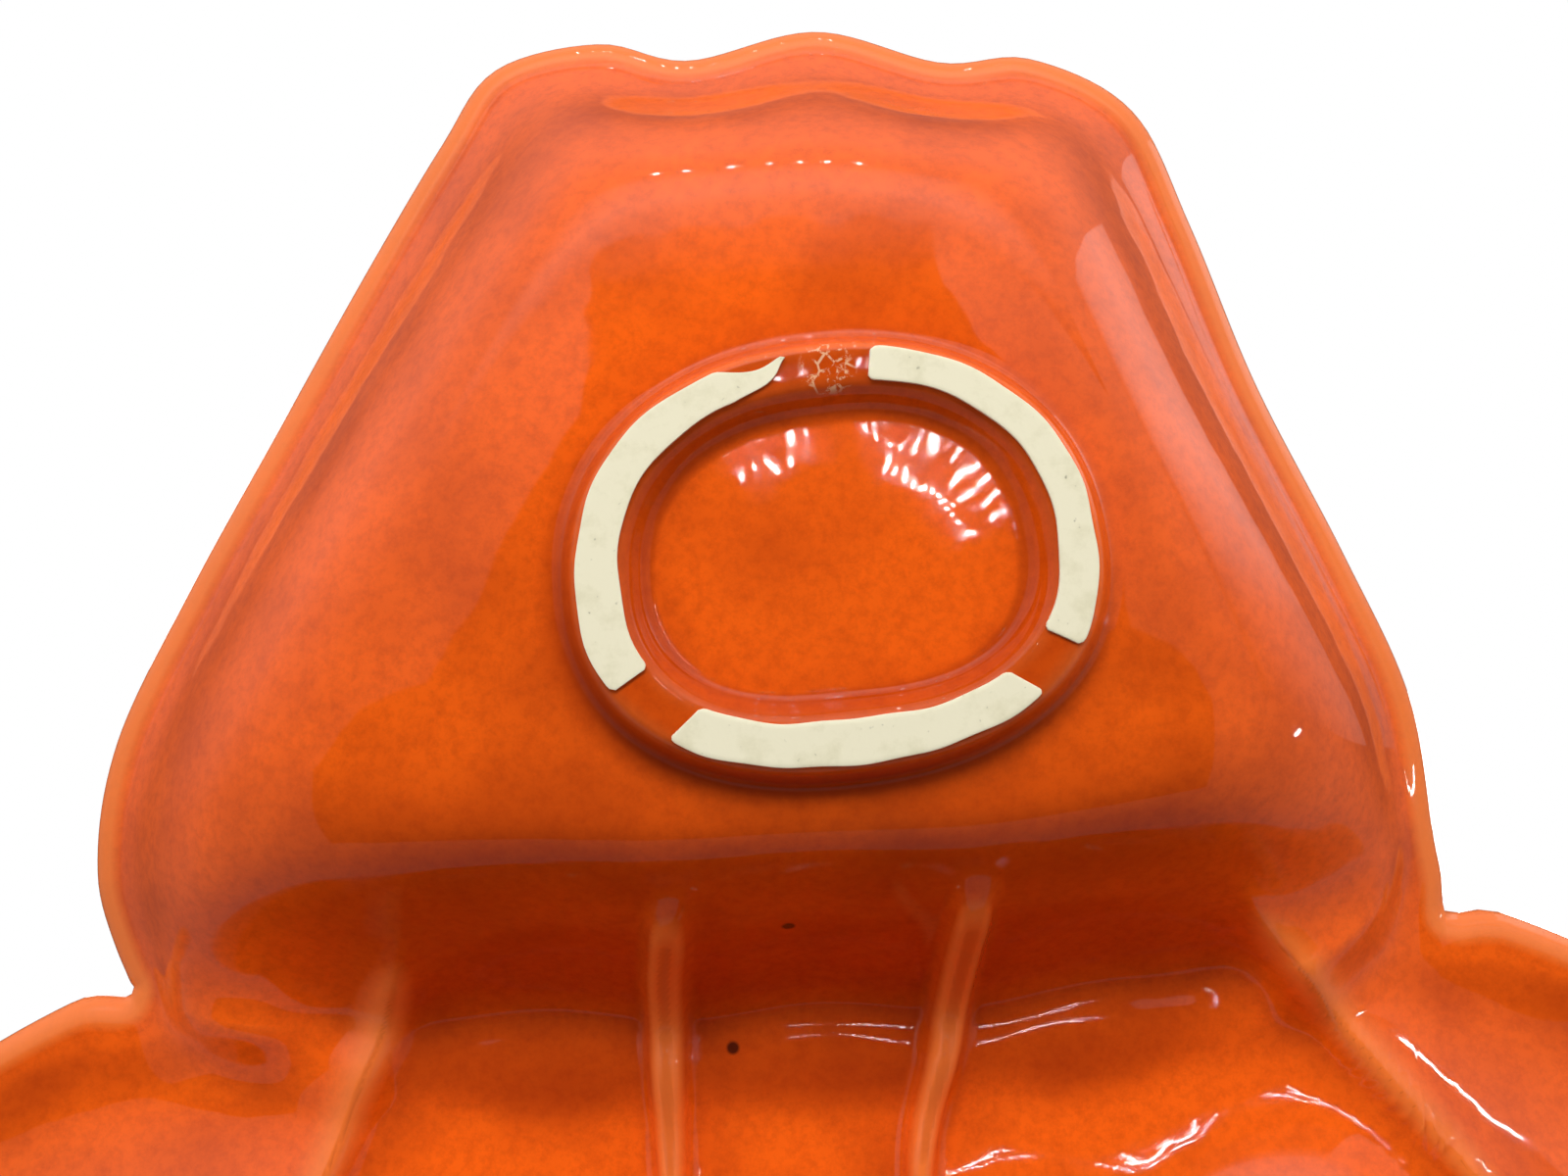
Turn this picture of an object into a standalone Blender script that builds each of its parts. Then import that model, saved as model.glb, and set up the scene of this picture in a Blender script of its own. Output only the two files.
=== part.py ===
"""A pumpkin-shaped divided serving dish in glazed ceramic, standing on two foot rings.

The stem of the pumpkin is a dip well and its lobed body is a chip tray. Lengths are in metres, +Z
is up, the stem points along +Y, and the origin lies on the table under the middle of the dish.
Plan positions are measured from the notch line, where the stem leaves the body, and one empty
carries every piece so that the middle of the dish comes to the origin.
"""
import collections
import math

import bmesh
import bpy
import numpy as np

MM = 0.001

# Outline of the chip tray: an oval with corners fuller than an ellipse's
TRAY_WIDTH = 304 * MM
TRAY_DEPTH = 196 * MM
TRAY_SQUARENESS = 2.4
NOTCH_SPREAD = 175 * MM
RIM_SCALLOP = 4.0 * MM

# Creases between the lobes: half spacing at the divider, at mid-length and at the far rim
INNER_CREASE = (17.5 * MM, 19 * MM, 15 * MM)
OUTER_CREASE = (53 * MM, 92 * MM, 62 * MM)
SIDE_CREASE = (NOTCH_SPREAD / 2, 128 * MM, 104 * MM)
LOBE_HEIGHT = 5.0 * MM
LOBE_FROM = 14 * MM
LOBE_CHANGE = 30 * MM

# Outline of the dip well: a leaning stem that tapers to a tip of three scallops
STEM_LENGTH = 124 * MM
STEM_LEAN = math.radians(6.4)
STEM_OFFSET = 2.5 * MM
STEM_SIDE = (  # share of the length, half width
    (0.10, 89.5 * MM),
    (0.21, 86.6 * MM),
    (0.565, 66.5 * MM),
    (0.80, 53.4 * MM),
    (0.94, 42.2 * MM),
)
TIP_CREST_SPREAD = 60 * MM
TIP_CREST_DROP = 2.9 * MM
TIP_VALLEY_SPREAD = 35 * MM
TIP_VALLEY_DROP = 4.1 * MM

# Divider between the two, which bows into the tray, with a steep bank on the well's side of it, a
# broad one on the tray's, and a saddle towards each notch where its valley runs out
DIVIDER_BOW = 12.5 * MM
DIVIDER_TILT = 0.03
DIVIDER_SQUARENESS = 3.5
WELL_BANK = 40 * MM
TRAY_BANK = 48 * MM
BANK_CHANGE = 12 * MM
SADDLE = 9 * MM
SADDLE_FROM = 52 * MM
SADDLE_CHANGE = 14 * MM

# Heights and walls
RIM_HEIGHT = 36 * MM
FOOT_HEIGHT = 5.0 * MM
WALL = 5.0 * MM
RIM_ROUNDING = 1.6 * MM
WELL_WALL_RUN = 32 * MM
TIP_WALL_RUN = 22 * MM
TIP_FROM = 50 * MM
TIP_CHANGE = 60 * MM
TRAY_WALL_RUN = 48 * MM
TRAY_CHANGE = 20 * MM
WALL_START = 0.06

# Floor round the foot rings, which rises a little away from them
FLOOR_DOME = 0.16
DOME_FROM = 8 * MM
LOBE_CLEAR = 20 * MM
SEAT_BLEND = 6 * MM

# Foot rings and the dry pads left bare of glaze on them
RING_WALL = 5.5 * MM
RING_SQUARENESS = 2.3
PAD_HEIGHT = 1.0 * MM
PAD_INSET = 0.4 * MM
WELL_RING_SIZE = (57 * MM, 46 * MM)
WELL_RING_PLACE = (-7.7 * MM, 45.9 * MM)
WELL_RING_TURN = math.radians(-4)
TRAY_RING_SIZE = (120 * MM, 74 * MM)
TRAY_RING_PLACE = (0, -98 * MM)
TRAY_RING_TURN = 0
PAD_ARCS = ((-29.5, 82.5), (100, 212.5), (227, 312.5))  # degrees round the ring from its own +X

# Gap left between pieces that touch
CLEARANCE = 0.3 * MM

# Fineness: spacing of points along the rims, the divider and the paths they are read from
RIM_STEP = 7 * MM
DIVIDER_STEP = 6 * MM
PATH_STEP = 1 * MM
CURVE_STEPS = 12
OVAL_STEPS = 720
RING_POINTS = 56
PAD_STEPS = 14
LOFT_SHARES = (0, 0.03, 0.07, 0.12, 0.18, 0.25, 0.33, 0.42, 0.53, 0.63, 0.74)
LIP_SHARE = 0.03
WALL_NORM = 6

# Shape of the wall's S curve: how long it stays level at the rim and at the floor
SIDE_CURVE = (0.14, 0.72)
WELL_BANK_CURVE = (0.20, 0.50)
TRAY_BANK_CURVE = (0.80, 0.35)

# Linear colours and finishes
GLAZE = (0.52, 0.065, 0.012, 1)
GLAZE_ROUGHNESS = 0.12
BARE_CLAY = (0.80, 0.75, 0.58, 1)
CLAY_ROUGHNESS = 0.8

Foot = collections.namedtuple("Foot", "size place turn")


def ease(share):
    """Return a smooth step from 0 to 1."""
    share = np.clip(share, 0, 1)
    return share**2 * (3 - 2 * share)


def curve_through(points, steps):
    """Return a smooth curve through the points, with the given steps from one to the next."""
    points = np.asarray(points)
    before = 2 * points[0] - points[1]
    after = 2 * points[-1] - points[-2]
    hull = np.vstack([before, points, after])
    t = np.linspace(0, 1, steps, endpoint=False)[:, None]
    pieces = []
    for a, b, c, d in zip(hull, hull[1:], hull[2:], hull[3:]):
        pieces.append(b + t / 2 * (c - a + t * (2 * a - 5 * b + 4 * c - d + t * (3 * (b - c) + d - a))))
    return np.vstack(pieces + [points[-1:]])


def spaced(path, step):
    """Return points at even distances of about one step along a path, both ends included."""
    along = np.concatenate([[0], np.cumsum(np.linalg.norm(np.diff(path, axis=0), axis=1))])
    stops = np.linspace(0, along[-1], round(along[-1] / step) + 1)
    return np.column_stack([np.interp(stops, along, path[:, axis]) for axis in (0, 1)])


def oval(width, depth, squareness, angles):
    """Return points of a superellipse at the given angles."""
    power = 2 / squareness
    cosine = np.cos(angles)
    sine = np.sin(angles)
    x = width / 2 * np.sign(cosine) * np.abs(cosine) ** power
    y = depth / 2 * np.sign(sine) * np.abs(sine) ** power
    return np.column_stack([x, y])


def tray_half_width(y):
    """Return the half width of the tray's plain oval at a distance along the dish."""
    share = np.clip(np.abs((y - tray_centre_y()) / (TRAY_DEPTH / 2)), 0, 1)
    return TRAY_WIDTH / 2 * (1 - share**TRAY_SQUARENESS) ** (1 / TRAY_SQUARENESS)


def tray_centre_y():
    """Return where the oval's middle must lie for its edge to pass through both notches."""
    share = NOTCH_SPREAD / TRAY_WIDTH
    return -TRAY_DEPTH / 2 * (1 - share**TRAY_SQUARENESS) ** (1 / TRAY_SQUARENESS)


def lobe_height(points):
    """Return 1 along the crown of each lobe and 0 in the creases between lobes."""
    x = np.abs(points[:, 0])
    far = tray_centre_y() - TRAY_DEPTH / 2
    along = np.clip(points[:, 1] / far, 0, 1)
    bounds = []
    for near_end, middle, far_end in (INNER_CREASE, OUTER_CREASE, SIDE_CREASE):
        bend = 4 * along * (1 - along)
        bounds.append(near_end + (far_end - near_end) * along + bend * (middle - (near_end + far_end) / 2))
    inner, outer, side = bounds
    edge = np.maximum(tray_half_width(points[:, 1]), side + RIM_SCALLOP)
    across = x / inner
    across = np.where(x > inner, 1 - 2 * (x - inner) / (outer - inner), across)
    across = np.where(x > outer, 1 - 2 * (x - outer) / (side - outer), across)
    across = np.where(x > side, 1 - np.clip((x - side) / (edge - side), 0, 1), across)
    return 0.5 + 0.5 * np.cos(math.pi * across)


def ridge_path():
    """Return the top of the divider from the left notch to the right one, bowed into the tray."""
    x = np.linspace(NOTCH_SPREAD / 2, -NOTCH_SPREAD / 2, round(NOTCH_SPREAD / PATH_STEP) + 1)
    bow = 1 - np.abs(2 * x / NOTCH_SPREAD) ** DIVIDER_SQUARENESS
    return np.column_stack([x, -bow * (DIVIDER_BOW - DIVIDER_TILT * x)])


def stem_path():
    """Return the rim of the dip well from the right notch, round the tip, to the left notch."""
    half = [(width, share * STEM_LENGTH) for share, width in STEM_SIDE]
    half.append((TIP_CREST_SPREAD / 2, STEM_LENGTH - TIP_CREST_DROP))
    half.append((TIP_VALLEY_SPREAD / 2, STEM_LENGTH - TIP_VALLEY_DROP))
    mirrored = [(-x, y) for x, y in half]
    stem = np.array(mirrored + [(0, STEM_LENGTH)] + half[::-1])
    x = STEM_OFFSET + stem[:, 0] * math.cos(STEM_LEAN) - stem[:, 1] * math.sin(STEM_LEAN)
    y = stem[:, 0] * math.sin(STEM_LEAN) + stem[:, 1] * math.cos(STEM_LEAN)
    notch = NOTCH_SPREAD / 2
    return curve_through(np.vstack([(-notch, 0), np.column_stack([x, y]), (notch, 0)]), CURVE_STEPS)


def tray_path():
    """Return the rim of the chip tray from the left notch, round the far side, to the right one."""
    squared = (NOTCH_SPREAD / TRAY_WIDTH) ** (TRAY_SQUARENESS / 2)
    start = math.acos(squared)
    angles = np.linspace(start, -math.pi - start, OVAL_STEPS)
    path = oval(TRAY_WIDTH, TRAY_DEPTH, TRAY_SQUARENESS, angles)
    path[:, 1] += tray_centre_y()
    inward = np.array([0, tray_centre_y()]) - path
    inward /= np.linalg.norm(inward, axis=1)[:, None]
    return path + inward * RIM_SCALLOP * (1 - lobe_height(path))[:, None]


def fall_curve(shares, curve):
    """Return how far an S-shaped wall has fallen, 0 to 1, at shares of its run from the rim."""
    level_top, level_foot = curve
    t = np.linspace(0, 1, 101)
    run = 3 * (1 - t) ** 2 * t * level_top + 3 * (1 - t) * t**2 * (1 - level_foot) + t**3
    return np.interp(shares, run, 3 * t**2 - 2 * t**3)


def nearness(points, path, run, softness):
    """Return a smooth measure that grows towards a path, for joining wall runs."""
    middles = (path[1:] + path[:-1]) / 2
    lengths = np.linalg.norm(np.diff(path, axis=0), axis=1)
    gaps = np.linalg.norm(points[:, None, :] - middles[None, :, :], axis=2)
    gaps = np.sqrt(gaps**2 + softness**2) / run[:, None]
    straight = math.sqrt(math.pi) * math.gamma((WALL_NORM - 1) / 2) / math.gamma(WALL_NORM / 2)
    return (gaps**-WALL_NORM * lengths).sum(axis=1) / run / straight


def beyond_ring(points, foot):
    """Return how far points lie outside a foot ring, or 0 inside it."""
    offset = points - np.array(foot.place)
    cosine = math.cos(foot.turn)
    sine = math.sin(foot.turn)
    shares = offset @ np.array([[cosine, -sine], [sine, cosine]]) / (np.array(foot.size) / 2)
    reach = (np.abs(shares) ** RING_SQUARENESS).sum(axis=1) ** (1 / RING_SQUARENESS)
    distance = np.linalg.norm(offset, axis=1)
    return distance - distance / np.maximum(reach, 1)


def underside(points, rims, feet):
    """Return the height of the dish's underside at plan points inside its rims."""
    ridge = ridge_path()
    beyond = np.interp(points[:, 0], ridge[::-1, 0], ridge[::-1, 1]) - points[:, 1]
    in_tray = ease(beyond / TRAY_CHANGE + 0.3)
    tray_side = ease(beyond / BANK_CHANGE)
    towards_tip = ease((points[:, 1] - TIP_FROM) / TIP_CHANGE)
    run = WELL_WALL_RUN + (TIP_WALL_RUN - WELL_WALL_RUN) * towards_tip
    run = run + (TRAY_WALL_RUN - run) * in_tray
    near_rim = sum(nearness(points, spaced(rim, PATH_STEP), run, 0) for rim in rims)
    ridge_x = np.abs((ridge[1:, 0] + ridge[:-1, 0]) / 2)
    softness = SADDLE * ease((ridge_x - SADDLE_FROM) / SADDLE_CHANGE)
    bank = WELL_BANK + (TRAY_BANK - WELL_BANK) * tray_side
    near_ridge = nearness(points, ridge, bank, softness)
    ridge_part = near_ridge / (near_rim + near_ridge)
    share = (near_rim + near_ridge) ** (-1 / (WALL_NORM - 1))
    share = share - WALL_START * (1 - share) * (1 - ridge_part)
    at_side = fall_curve(share, SIDE_CURVE)
    at_well_bank = fall_curve(share, WELL_BANK_CURVE)
    at_ridge = at_well_bank + (fall_curve(share, TRAY_BANK_CURVE) - at_well_bank) * tray_side
    fall = at_side + (at_ridge - at_side) * ridge_part
    away = np.min([beyond_ring(points, foot) for foot in feet], axis=0)
    dome = FLOOR_DOME * (np.sqrt(away**2 + DOME_FROM**2) - DOME_FROM)
    lobed = ease((beyond - LOBE_FROM) / LOBE_CHANGE) * ease(away / LOBE_CLEAR)
    lobe = LOBE_HEIGHT * lobed * (1 - lobe_height(points))
    rise = (RIM_HEIGHT - FOOT_HEIGHT) * (1 - fall) + (lobe + dome) * fall
    return FOOT_HEIGHT + rise * ease(away / SEAT_BLEND)


def finish(obj, colour, roughness, parts, carrier):
    """File one piece under the dish, hang it on the carrier and give it its own material."""
    material = bpy.data.materials.new(obj.name + "_finish")
    material.use_nodes = True
    shader = material.node_tree.nodes["Principled BSDF"]
    shader.inputs["Base Color"].default_value = colour
    shader.inputs["Roughness"].default_value = roughness
    shader.inputs["Metallic"].default_value = 0
    obj.data.materials.append(material)
    obj.parent = carrier
    parts.objects.link(obj)
    return obj


def make_shell(name, rim, ridge, rims, foot, feet):
    """Loft rings from the rim in to the middle of the foot ring, then thicken them to the wall."""
    outline = np.vstack([rim[:-1], ridge[:-1]])
    middle = np.array(foot.place)
    mesh = bpy.data.meshes.new(name)
    shell = bmesh.new()
    rings = []
    for share in LOFT_SHARES:
        plan = outline + (middle - outline) * share
        if share <= LIP_SHARE:
            heights = np.full(len(plan), RIM_HEIGHT)
        else:
            heights = underside(plan, rims, feet)
        rings.append([shell.verts.new((x, y, z)) for (x, y), z in zip(plan, heights)])
    count = len(outline)
    for outside, inside in zip(rings, rings[1:]):
        for here in range(count):
            after = (here + 1) % count
            shell.faces.new((outside[here], inside[here], inside[after], outside[after]))
    hub = shell.verts.new((middle[0], middle[1], FOOT_HEIGHT))
    for here in range(count):
        shell.faces.new((rings[-1][here], hub, rings[-1][(here + 1) % count]))
    bmesh.ops.recalc_face_normals(shell, faces=shell.faces)
    lowest = min(shell.faces, key=lambda face: face.calc_center_median().z)
    if lowest.normal.z > 0:
        bmesh.ops.reverse_faces(shell, faces=shell.faces)
    shell.to_mesh(mesh)
    shell.free()
    obj = bpy.data.objects.new(name, mesh)
    thicken = obj.modifiers.new("wall", "SOLIDIFY")
    thicken.thickness = WALL
    thicken.offset = -1
    rounding = obj.modifiers.new("rim rounding", "BEVEL")
    rounding.width = RIM_ROUNDING
    rounding.segments = 2
    rounding.limit_method = "ANGLE"
    rounding.angle_limit = math.radians(60)
    return obj


def flat_outline(name, loops, bottom, top):
    """Make a flat filled curve from closed loops of plan points, standing between two heights."""
    curve = bpy.data.curves.new(name, "CURVE")
    curve.dimensions = "2D"
    curve.fill_mode = "BOTH"
    curve.extrude = (top - bottom) / 2
    for loop in loops:
        spline = curve.splines.new("POLY")
        spline.points.add(len(loop) - 1)
        spline.use_cyclic_u = True
        for point, (x, y) in zip(spline.points, loop):
            point.co = (x, y, 0, 1)
    obj = bpy.data.objects.new(name, curve)
    obj.location.z = (bottom + top) / 2
    return obj


def ring_edge(size, inset, angles):
    """Return a foot ring's oval drawn in by an inset, at the given angles."""
    width, depth = size
    return oval(width - 2 * inset, depth - 2 * inset, RING_SQUARENESS, angles)


def make_foot_ring(name, foot):
    """Make the ring of clay that stands under a shell and carries the dry pads."""
    angles = np.linspace(0, 2 * math.pi, RING_POINTS, endpoint=False)
    loops = [ring_edge(foot.size, 0, angles), ring_edge(foot.size, RING_WALL, angles)]
    obj = flat_outline(name, loops, PAD_HEIGHT + CLEARANCE, FOOT_HEIGHT - CLEARANCE)
    obj.location.x, obj.location.y = foot.place
    obj.rotation_euler.z = foot.turn
    return obj


def make_pad(name, foot, start, end):
    """Make one dry pad: an arc of the foot ring that stands on the table."""
    angles = np.radians(np.linspace(start, end, PAD_STEPS))
    outer = ring_edge(foot.size, PAD_INSET, angles)
    inner = ring_edge(foot.size, RING_WALL - PAD_INSET, angles[::-1])
    obj = flat_outline(name, [np.vstack([outer, inner])], 0, PAD_HEIGHT)
    obj.location.x, obj.location.y = foot.place
    obj.rotation_euler.z = foot.turn
    return obj


def main():
    """Clear the scene and build the dish."""
    for old in list(bpy.data.objects):
        bpy.data.objects.remove(old)
    parts = bpy.data.collections.new("pumpkin_serving_dish")
    bpy.context.scene.collection.children.link(parts)
    well_rim = stem_path()
    tray_rim = tray_path()
    top = well_rim[:, 1].max()
    bottom = tray_rim[:, 1].min()
    carrier = bpy.data.objects.new("dish", None)
    carrier.location = (0, -(top + bottom) / 2, 0)
    parts.objects.link(carrier)

    well_foot = Foot(WELL_RING_SIZE, WELL_RING_PLACE, WELL_RING_TURN)
    tray_foot = Foot(TRAY_RING_SIZE, TRAY_RING_PLACE, TRAY_RING_TURN)
    half_gap = np.array([0, CLEARANCE / 2])
    ridge = spaced(ridge_path(), DIVIDER_STEP)
    well_rim = spaced(well_rim + half_gap, RIM_STEP)
    tray_rim = spaced(tray_rim - half_gap, RIM_STEP)
    rims = (well_rim, tray_rim)
    feet = (well_foot, tray_foot)
    well = make_shell("dip_well", well_rim, ridge + half_gap, rims, well_foot, feet)
    tray = make_shell("chip_tray", tray_rim, ridge[::-1] - half_gap, rims, tray_foot, feet)
    finish(well, GLAZE, GLAZE_ROUGHNESS, parts, carrier)
    finish(tray, GLAZE, GLAZE_ROUGHNESS, parts, carrier)
    for zone, foot in (("dip", well_foot), ("tray", tray_foot)):
        ring = make_foot_ring(zone + "_foot_ring", foot)
        finish(ring, GLAZE, GLAZE_ROUGHNESS, parts, carrier)
        for number, (start, end) in enumerate(PAD_ARCS, 1):
            pad = make_pad(f"{zone}_dry_pad_{number}", foot, start, end)
            finish(pad, BARE_CLAY, CLAY_ROUGHNESS, parts, carrier)


main()
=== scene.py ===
# %% [markdown]
# This lesson dresses a pumpkin-shaped serving dish: one casting in orange gloss glaze, with a
# stem-shaped dip well, a lobed tray behind a raised divider, and two foot rings left bare of glaze
# where the dish stands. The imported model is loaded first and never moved; everything made here is
# placed from its boxes.

# %% Load the frame
import math

import bmesh
import bpy
import numpy as np
from mathutils import Matrix, Vector


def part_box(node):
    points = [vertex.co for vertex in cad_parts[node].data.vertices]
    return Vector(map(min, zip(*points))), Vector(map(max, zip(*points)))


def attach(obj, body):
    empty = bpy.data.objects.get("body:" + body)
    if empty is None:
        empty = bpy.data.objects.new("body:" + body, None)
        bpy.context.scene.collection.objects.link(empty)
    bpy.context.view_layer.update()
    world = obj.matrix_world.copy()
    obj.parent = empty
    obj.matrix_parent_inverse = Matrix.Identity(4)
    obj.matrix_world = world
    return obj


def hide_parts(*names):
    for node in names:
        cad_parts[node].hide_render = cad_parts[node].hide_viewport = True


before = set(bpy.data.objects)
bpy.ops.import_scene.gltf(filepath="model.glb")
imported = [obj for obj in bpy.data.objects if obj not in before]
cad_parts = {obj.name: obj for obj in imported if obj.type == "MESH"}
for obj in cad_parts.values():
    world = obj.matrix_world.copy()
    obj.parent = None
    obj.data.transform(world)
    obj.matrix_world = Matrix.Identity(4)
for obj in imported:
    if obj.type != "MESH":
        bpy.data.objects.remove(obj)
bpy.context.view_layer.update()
MM = 0.001
JOINT_GAP = 0.3 * MM
NOTCH_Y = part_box("chip_tray")[1][1] + JOINT_GAP / 2
print("notch line at y =", round(NOTCH_Y / MM, 2), "mm")

# %% [markdown]
# The photograph looks up at the underside from close by, as if the dish were held over the camera.
# A close camera makes the near foot large and the far rim small, so its distance matters more than
# its lens. It is placed by its point in the frame and by the directions that are forward and up in
# the picture.

# %% Camera
CAMERA_PLACE = Vector((-1.2 * MM, NOTCH_Y + 28.9 * MM, -159.4 * MM))
CAMERA_FORWARD = Vector((-0.0053, 0.0870, 0.9962)).normalized()
CAMERA_UP = Vector((-0.0608, 0.9943, -0.0872))

camera_data = bpy.data.cameras.new("underside_camera")
camera_data.sensor_width = 36
camera_data.lens = 33.75
camera_data.clip_start = 0.005
camera = bpy.data.objects.new("underside_camera", camera_data)
bpy.context.scene.collection.objects.link(camera)
camera_right = CAMERA_FORWARD.cross(CAMERA_UP).normalized()
camera_up = camera_right.cross(CAMERA_FORWARD)
camera_axes = Matrix((camera_right, camera_up, -CAMERA_FORWARD)).transposed().to_4x4()
camera.matrix_world = Matrix.Translation(CAMERA_PLACE) @ camera_axes
bpy.context.scene.camera = camera
print("camera", round(CAMERA_PLACE.length / MM), "mm from the middle of the dish")

# %% [markdown]
# The rim is two smooth lines that meet at a notch on either side. The stem's line is a curve through
# a few points read along its side and round the three scallops of its tip. The body's line is an
# oval fuller than an ellipse, drawn in a little where the creases between the lobes reach it.

# %% Rim lines
TRAY_WIDTH = 304 * MM
TRAY_DEPTH = 196 * MM
TRAY_SQUARENESS = 2.4
NOTCH_SPREAD = 175 * MM
NOTCHES = np.array([[-1, 0], [1, 0]]) * NOTCH_SPREAD / 2
NOTCH_FILLET = 3 * MM
FILLET_SPREAD = NOTCH_FILLET / 1.7
FILLET_BLEND = 5 * NOTCH_FILLET
FILLET_STEPS = 24
NOTCH_SEARCH = 3 * NOTCH_FILLET
RIM_STEP = 0.25 * MM
CURVE_STEPS = 40
OVAL_POINTS = 1500
CROWD_STEPS = 2000
CROWD_REACH = 6 * MM
RIM_SCALLOP = 4.0 * MM
CREASE_SHARPNESS = 2.2
CREASES = (  # half spacing at the divider, at mid-length and at the far rim
    (17.5 * MM, 19 * MM, 15 * MM),
    (53 * MM, 92 * MM, 62 * MM),
    (NOTCH_SPREAD / 2, 128 * MM, 104 * MM),
)
STEM_LENGTH = 124 * MM
STEM_LEAN = math.radians(6.4)
STEM_OFFSET = 2.5 * MM
STEM_LEFT = (  # share of the length, half width in mm
    (0.03, 89.4), (0.17, 88.4), (0.34, 80.3), (0.52, 70.2), (0.70, 60.0), (0.85, 50.9), (0.94, 44.2)
)
STEM_RIGHT = ((0.138, 87.6), (0.291, 84.0), (0.442, 74.9), (0.625, 62.5), (0.80, 53.0), (0.93, 44.4))
STEM_TIP = ((-30, 2.0), (-17.5, 3.2), (0, -0.4), (17.5, 4.7), (30, 2.9))  # place across, drop in mm
NOTCH_SHARE = (NOTCH_SPREAD / TRAY_WIDTH) ** TRAY_SQUARENESS
TRAY_MIDDLE = -TRAY_DEPTH / 2 * (1 - NOTCH_SHARE) ** (1 / TRAY_SQUARENESS)


def ease(share):
    """Return a smooth step from 0 to 1."""
    share = np.clip(share, 0, 1)
    return share * share * (3 - 2 * share)


def band(value, rise, fade):
    """Return a smooth band of a value, given the start and the length of its rise and of its fade."""
    return ease((value - rise[0]) / rise[1]) * (1 - ease((value - fade[0]) / fade[1]))


def notch_gap(points):
    """Return the distance from each point to the nearer notch."""
    return np.min([np.linalg.norm(points - notch, axis=1) for notch in NOTCHES], axis=0)


def curve_through(points, steps):
    """Return a smooth curve through the points, with the given steps from one to the next."""
    points = np.asarray(points)
    ends = 2 * points[[0, -1]] - points[[1, -2]]
    hull = np.vstack([ends[:1], points, ends[1:]])
    t = np.linspace(0, 1, steps, endpoint=False)[:, None]
    runs = []
    for a, b, c, d in zip(hull, hull[1:], hull[2:], hull[3:]):
        runs.append(b + t / 2 * (c - a + t * (2 * a - 5 * b + 4 * c - d + t * (3 * (b - c) + d - a))))
    return np.vstack(runs + [points[-1:]])


def along_path(path):
    """Return the distance along a path at each of its points."""
    return np.concatenate([[0], np.cumsum(np.linalg.norm(np.diff(path, axis=0), axis=1))])


def points_at(path, stops):
    """Return the points of a path at given distances along it."""
    along = along_path(path)
    return np.column_stack([np.interp(stops, along, path[:, axis]) for axis in (0, 1)])


def stem_line():
    """Return the stem's rim from the right notch, round the tip, to the left notch."""
    right = [(-width * MM, share * STEM_LENGTH) for share, width in STEM_RIGHT]
    left = [(width * MM, share * STEM_LENGTH) for share, width in STEM_LEFT]
    tip = [(across * MM, STEM_LENGTH - drop * MM) for across, drop in STEM_TIP]
    stem = np.array(right + tip + left[::-1])
    x = STEM_OFFSET + stem[:, 0] * math.cos(STEM_LEAN) - stem[:, 1] * math.sin(STEM_LEAN)
    y = stem[:, 0] * math.sin(STEM_LEAN) + stem[:, 1] * math.cos(STEM_LEAN)
    return curve_through(np.vstack([NOTCHES[:1], np.column_stack([x, y]), NOTCHES[1:]]), CURVE_STEPS)


def tray_half_width(y):
    """Return the half width of the body's plain oval at a distance along the dish."""
    share = np.clip(np.abs((y - TRAY_MIDDLE) / (TRAY_DEPTH / 2)), 0, 1)
    return TRAY_WIDTH / 2 * (1 - share**TRAY_SQUARENESS) ** (1 / TRAY_SQUARENESS)


def across_lobe(points):
    """Return -1 to 1 across the lobe of the body that each point lies in."""
    x = np.abs(points[:, 0])
    along = np.clip(points[:, 1] / (TRAY_MIDDLE - TRAY_DEPTH / 2), 0, 1)
    bend = 4 * along * (1 - along)
    inner, outer, side = [
        near + (far - near) * along + bend * (middle - (near + far) / 2) for near, middle, far in CREASES
    ]
    edge = np.maximum(tray_half_width(points[:, 1]), side + RIM_SCALLOP)
    across = x / inner
    across = np.where(x > inner, 1 - 2 * (x - inner) / (outer - inner), across)
    across = np.where(x > outer, 1 - 2 * (x - outer) / (side - outer), across)
    return np.where(x > side, 1 - np.clip((x - side) / (edge - side), 0, 1), across)


def lobe_crown(points, sharp):
    """Return 1 along the crown of each lobe of the body and 0 in the creases between lobes."""
    across = np.abs(across_lobe(points))
    if sharp:
        return 1 - across**CREASE_SHARPNESS
    return 0.5 + 0.5 * np.cos(math.pi * across)


def tray_line():
    """Return the body's rim from the left notch, round the far side, to the right notch."""
    start = math.acos((NOTCH_SPREAD / TRAY_WIDTH) ** (TRAY_SQUARENESS / 2))
    angles = np.linspace(start, -math.pi - start, OVAL_POINTS)
    power = 2 / TRAY_SQUARENESS
    x = TRAY_WIDTH / 2 * np.sign(np.cos(angles)) * np.abs(np.cos(angles)) ** power
    y = TRAY_DEPTH / 2 * np.sign(np.sin(angles)) * np.abs(np.sin(angles)) ** power
    line = np.column_stack([x, y + TRAY_MIDDLE])
    inward = np.array([0, TRAY_MIDDLE]) - line
    inward /= np.linalg.norm(inward, axis=1)[:, None]
    return line + inward * RIM_SCALLOP * (1 - lobe_crown(line, False))[:, None]


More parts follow.
